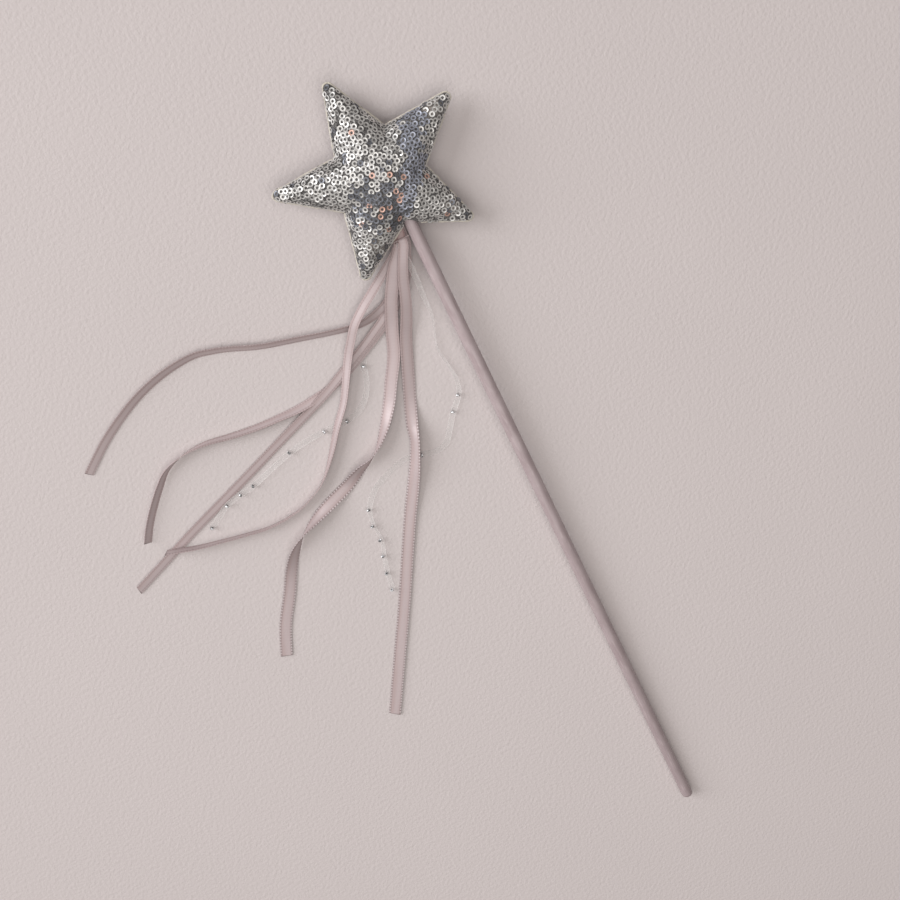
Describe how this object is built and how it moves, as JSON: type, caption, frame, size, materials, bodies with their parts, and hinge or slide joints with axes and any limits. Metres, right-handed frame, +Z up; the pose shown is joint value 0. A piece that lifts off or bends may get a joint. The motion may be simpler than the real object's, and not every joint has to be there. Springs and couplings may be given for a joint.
{
  "type": "toy magic wand",
  "caption": "Toy magic wand: a stuffed star of silver sequin cloth on a painted wooden dowel, with pink satin ribbons and beaded organza strands hanging from the neck.",
  "frame": {"origin": "on the floor under the middle of the wand's length, midway between the star's left and right arms", "axes": "+Y along the wand from the tip towards the star, +Z up through the star's front, +X to the right as seen from above with the star at the top"},
  "size_m": [0.2578, 0.452, 0.0226],
  "materials": {
    "stick_paint": "pale dusty pink satin paint on wood",
    "glue": "cloudy hot-melt glue",
    "stuffing": "white fibre filling",
    "lining": "plain beige woven lining",
    "sequin_cloth": "silver cup sequins sewn on fine mesh",
    "ribbon_satin": "pale pink satin with ribbed edges",
    "thread": "pink sewing thread",
    "organza": "sheer whitish organza",
    "bead_glass": "clear glass with a silver lining"
  },
  "bodies": {
    "wand": {"stick": "stick_paint", "glue_collar": "glue", "stuffing": "stuffing", "front_lining": "lining", "back_lining": "lining", "front_cloth": "sequin_cloth", "back_cloth": "sequin_cloth", "ribbon_roots": "ribbon_satin", "neck_thread": "thread"},
    "streamers": {"cross_ribbon": "ribbon_satin", "arch_ribbon": "ribbon_satin", "straight_ribbon": "ribbon_satin", "curl_ribbon": "ribbon_satin", "left_strand": "organza", "left_beads": "bead_glass"},
    "twist_streamer": {"twist_ribbon": "ribbon_satin"},
    "long_streamer": {"long_ribbon": "ribbon_satin", "right_strand": "organza", "right_beads": "bead_glass"}
  },
  "joints": [
    {"name": "streamers_lift", "type": "hinge", "parent": "wand", "child": "streamers", "pos_m": [-0.005, 0.14642, 0.01055], "axis": [-1, 0, 0], "range_deg": [0, 80]},
    {"name": "twist_lift", "type": "hinge", "parent": "streamers", "child": "twist_streamer", "pos_m": [-0.005, 0.14642, 0.01055], "axis": [-1, 0, 0], "range_deg": [0, 20]},
    {"name": "long_lift", "type": "hinge", "parent": "twist_streamer", "child": "long_streamer", "pos_m": [-0.005, 0.14642, 0.01055], "axis": [-1, 0, 0], "range_deg": [0, 20]}
  ]
}
